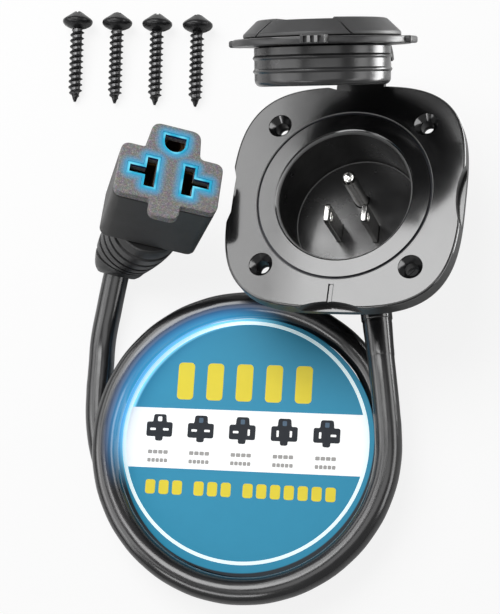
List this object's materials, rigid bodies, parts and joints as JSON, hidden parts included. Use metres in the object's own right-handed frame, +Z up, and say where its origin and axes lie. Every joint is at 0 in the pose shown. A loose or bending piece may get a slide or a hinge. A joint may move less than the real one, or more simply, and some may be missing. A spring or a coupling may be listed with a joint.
{
  "type": "power adapter dogbone",
  "caption": "Dogbone power adapter: flush power inlet with a hinged weather cap, coiled black cord, and a cross-shaped female connector for several plug patterns.",
  "frame": {"origin": "centre of the flat foot under the inlet's rear cover, on the surface the adapter lies on", "axes": "+Z up from that surface; +X from the connector towards the inlet, +Y from the cord coil towards the hinge of the weather cap"},
  "size_m": [0.1509, 0.2187, 0.1126],
  "materials": {
    "gloss_black_plastic": "deep gloss black, moulded",
    "matte_black_plastic": "matte black, moulded",
    "black_rubber": "smooth soft black rubber with a dull sheen",
    "black_cord_jacket": "glossy black vinyl jacket",
    "grey_speckled_plastic": "grainy grey with light and dark specks",
    "dark_grey_plastic": "dark grey, lightly grained",
    "cyan_plastic": "bright cyan rims of the slots",
    "nickel_plate": "nickel-plated contacts",
    "brass_contact": "bare brass",
    "black_oxide_steel": "black coated screw steel",
    "white_insulation": "white wire insulation",
    "green_insulation": "green wire insulation",
    "black_insulation": "black wire insulation",
    "printed_card": "printed teal and white card"
  },
  "bodies": {
    "base": {"flange_housing": "gloss_black_plastic", "contact_carrier": "matte_black_plastic", "line_blade": "nickel_plate", "neutral_blade": "nickel_plate", "ground_pin": "nickel_plate", "line_terminal": "brass_contact", "neutral_terminal": "brass_contact", "ground_terminal": "brass_contact", "line_wire": "black_insulation", "neutral_wire": "white_insulation", "ground_wire": "green_insulation", "rear_cover": "matte_black_plastic", "cover_screw_1": "nickel_plate", "cover_screw_2": "nickel_plate", "inlet_strain_relief": "black_rubber", "cord_sheath_end": "black_cord_jacket", "cord_clamp": "matte_black_plastic", "flange_gasket": "black_rubber", "hinge_pin": "nickel_plate", "connector_face": "grey_speckled_plastic", "connector_body": "dark_grey_plastic", "line_slot_rim": "cyan_plastic", "neutral_slot_rim": "cyan_plastic", "ground_slot_rim": "cyan_plastic", "line_contact": "brass_contact", "neutral_contact": "brass_contact", "ground_contact": "brass_contact", "connector_line_wire": "black_insulation", "connector_neutral_wire": "white_insulation", "connector_ground_wire": "green_insulation", "connector_strain_relief": "black_rubber", "cord_lead_connector": "black_cord_jacket", "cord_coil": "black_cord_jacket", "cord_lead_inlet": "black_cord_jacket", "label_disc": "printed_card", "mounting_screw_1": "black_oxide_steel", "mounting_screw_2": "black_oxide_steel", "mounting_screw_3": "black_oxide_steel", "mounting_screw_4": "black_oxide_steel"},
    "cap": {"cap_strap": "black_rubber", "cap_shell": "matte_black_plastic", "cap_plug": "black_rubber"}
  },
  "joints": [
    {"name": "cap_hinge", "type": "hinge", "parent": "base", "child": "cap", "pos_m": [0.00104, 0.05555, 0.03313], "axis": [-0.9884, 0.091, -0.1216], "range_deg": [-62, 31]}
  ]
}
